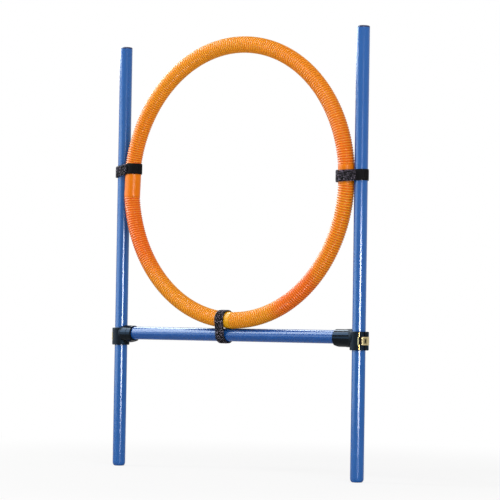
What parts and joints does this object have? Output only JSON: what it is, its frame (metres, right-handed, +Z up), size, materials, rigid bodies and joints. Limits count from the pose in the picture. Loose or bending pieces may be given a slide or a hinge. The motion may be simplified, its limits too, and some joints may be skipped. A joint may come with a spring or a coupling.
{
  "type": "agility tire jump",
  "caption": "Dog agility hoop jump: a ribbed hose ring strapped to a crossbar and two upright poles, with clamping tees that slide to set the jump height.",
  "frame": {"origin": "on the floor, midway between the axes of the two poles", "axes": "+Z up along the poles, X along the crossbar with the strapped joint of the ring at -X, front towards -Y where the ring stands proud of the poles"},
  "size_m": [0.746, 0.0505, 1],
  "materials": {
    "pole_blue": "semi-gloss extruded plastic",
    "plug_navy": "moulded plastic",
    "tee_black": "glossy moulded plastic",
    "pin_brass": "bright turned pin",
    "clasp_metal": "yellow plated pressed steel",
    "hose_orange": "glossy corrugated hose",
    "joiner_grey": "matte",
    "strap_black": "hook-and-loop webbing"
  },
  "bodies": {
    "poles": {"left_pole": "pole_blue", "right_pole": "pole_blue", "left_pole_cap": "plug_navy", "right_pole_cap": "plug_navy", "left_pole_foot": "pole_blue", "right_pole_foot": "pole_blue"},
    "carriage": {"crossbar": "pole_blue", "left_tee": "tee_black", "right_tee": "tee_black", "left_hinge_pin": "pin_brass", "right_hinge_pin": "pin_brass", "left_keeper_pin": "pin_brass", "right_keeper_pin": "pin_brass", "ring_hose": "hose_orange", "hose_joiner": "joiner_grey", "left_strap": "strap_black", "right_strap": "strap_black", "bottom_strap": "strap_black"},
    "left_clasp_body": {"left_clasp": "clasp_metal"},
    "right_clasp_body": {"right_clasp": "clasp_metal"}
  },
  "joints": [
    {"name": "height_slide", "type": "slide", "parent": "poles", "child": "carriage", "axis": [0, 0, 1], "range_m": [-0.25, 0.25]},
    {"name": "left_clasp_hinge", "type": "hinge", "parent": "carriage", "child": "left_clasp_body", "pos_m": [-0.36142, 0.01545, 0.308], "axis": [0, 0, -1], "range_deg": [0, 110]},
    {"name": "right_clasp_hinge", "type": "hinge", "parent": "carriage", "child": "right_clasp_body", "pos_m": [0.36142, -0.01545, 0.308], "axis": [0, 0, -1], "range_deg": [0, 110]}
  ]
}
